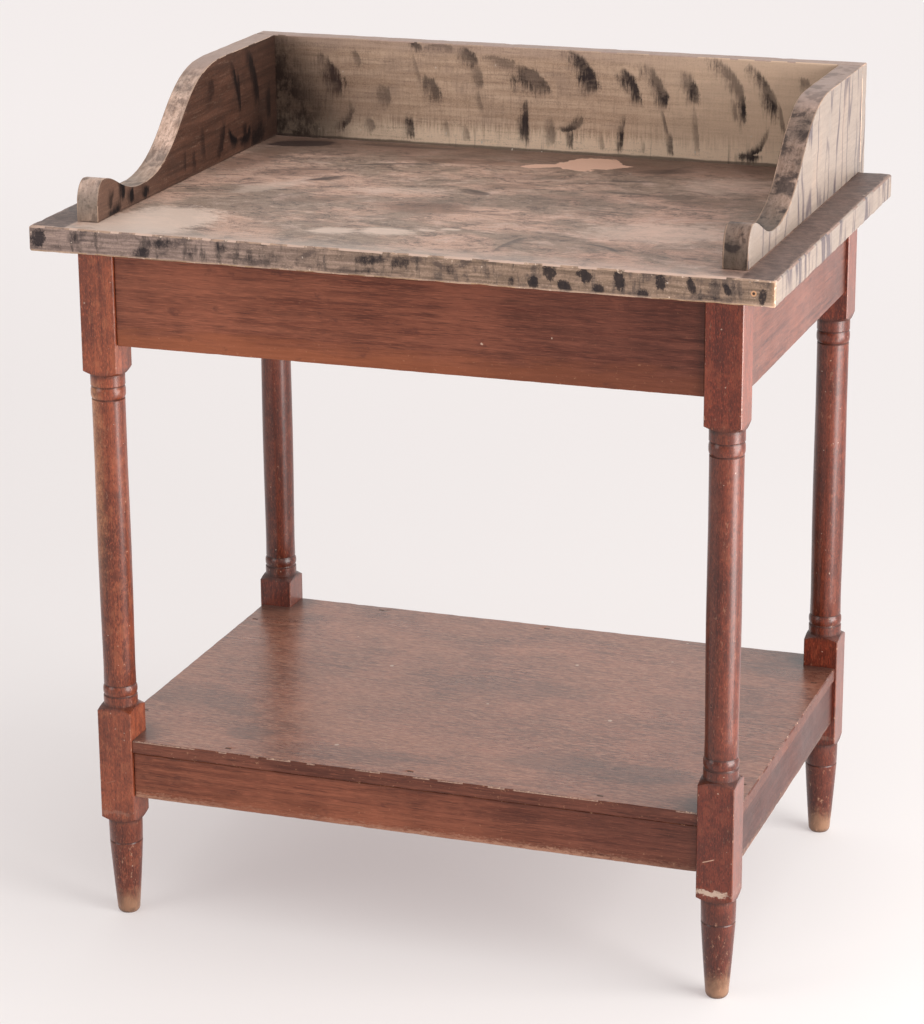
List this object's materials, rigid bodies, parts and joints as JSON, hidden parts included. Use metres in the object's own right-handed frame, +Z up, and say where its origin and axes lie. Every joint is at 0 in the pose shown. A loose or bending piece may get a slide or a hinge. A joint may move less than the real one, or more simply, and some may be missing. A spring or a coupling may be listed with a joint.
{
  "type": "washstand",
  "caption": "Wooden washstand on turned legs, with a plain apron, a lower shelf and a top with a low gallery at its back and sides, which curves down to rounded front ends.",
  "frame": {"origin": "on the floor, below the middle of the washstand's overall width and depth", "axes": "+Z up; +X to the right and -Y to the front, for someone who stands in front of it"},
  "size_m": [0.768, 0.524, 0.8738],
  "materials": {
    "leg_stain": "red-brown stain under old glossy varnish",
    "apron_stain": "red-brown stain under old varnish",
    "shelf_stain": "dulled red-brown stain, worn varnish",
    "top_paint": "old marbled paint under varnish, stained and worn",
    "gallery_paint": "old marbled paint under varnish, brushed with dark strokes",
    "bare_pine": "bare sawn pine",
    "iron": "dark rusted iron"
  },
  "bodies": {
    "root": {"Back_board": "gallery_paint", "Back_board_nail_1": "iron", "Back_board_nail_2": "iron", "Back_board_nail_3": "iron", "Back_board_nail_4": "iron", "Back_board_nail_5": "iron", "Back_board_nail_6": "iron", "Back_board_nail_7": "iron", "Back_board_nail_8": "iron", "Back_board_nail_9": "iron", "Front_apron": "apron_stain", "Front_left_leg": "leg_stain", "Front_right_leg": "leg_stain", "Front_shelf_rail": "apron_stain", "Gallery_side_nail_1": "iron", "Gallery_side_nail_2": "iron", "Gallery_side_nail_3": "iron", "Gallery_side_nail_4": "iron", "Gallery_side_nail_5": "iron", "Gallery_side_nail_6": "iron", "Glue_block_1": "bare_pine", "Glue_block_10": "bare_pine", "Glue_block_2": "bare_pine", "Glue_block_3": "bare_pine", "Glue_block_4": "bare_pine", "Glue_block_5": "bare_pine", "Glue_block_6": "bare_pine", "Glue_block_7": "bare_pine", "Glue_block_8": "bare_pine", "Glue_block_9": "bare_pine", "Left_apron": "apron_stain", "Left_gallery_side": "gallery_paint", "Left_shelf_rail": "apron_stain", "Rear_apron": "apron_stain", "Rear_left_leg": "leg_stain", "Rear_right_leg": "leg_stain", "Rear_shelf_rail": "apron_stain", "Right_apron": "apron_stain", "Right_gallery_side": "gallery_paint", "Right_shelf_rail": "apron_stain", "Shelf_board": "shelf_stain", "Shelf_nail_1": "iron", "Shelf_nail_10": "iron", "Shelf_nail_2": "iron", "Shelf_nail_3": "iron", "Shelf_nail_4": "iron", "Shelf_nail_5": "iron", "Shelf_nail_6": "iron", "Shelf_nail_7": "iron", "Shelf_nail_8": "iron", "Shelf_nail_9": "iron", "Top_board": "top_paint"}
  },
  "joints": []
}
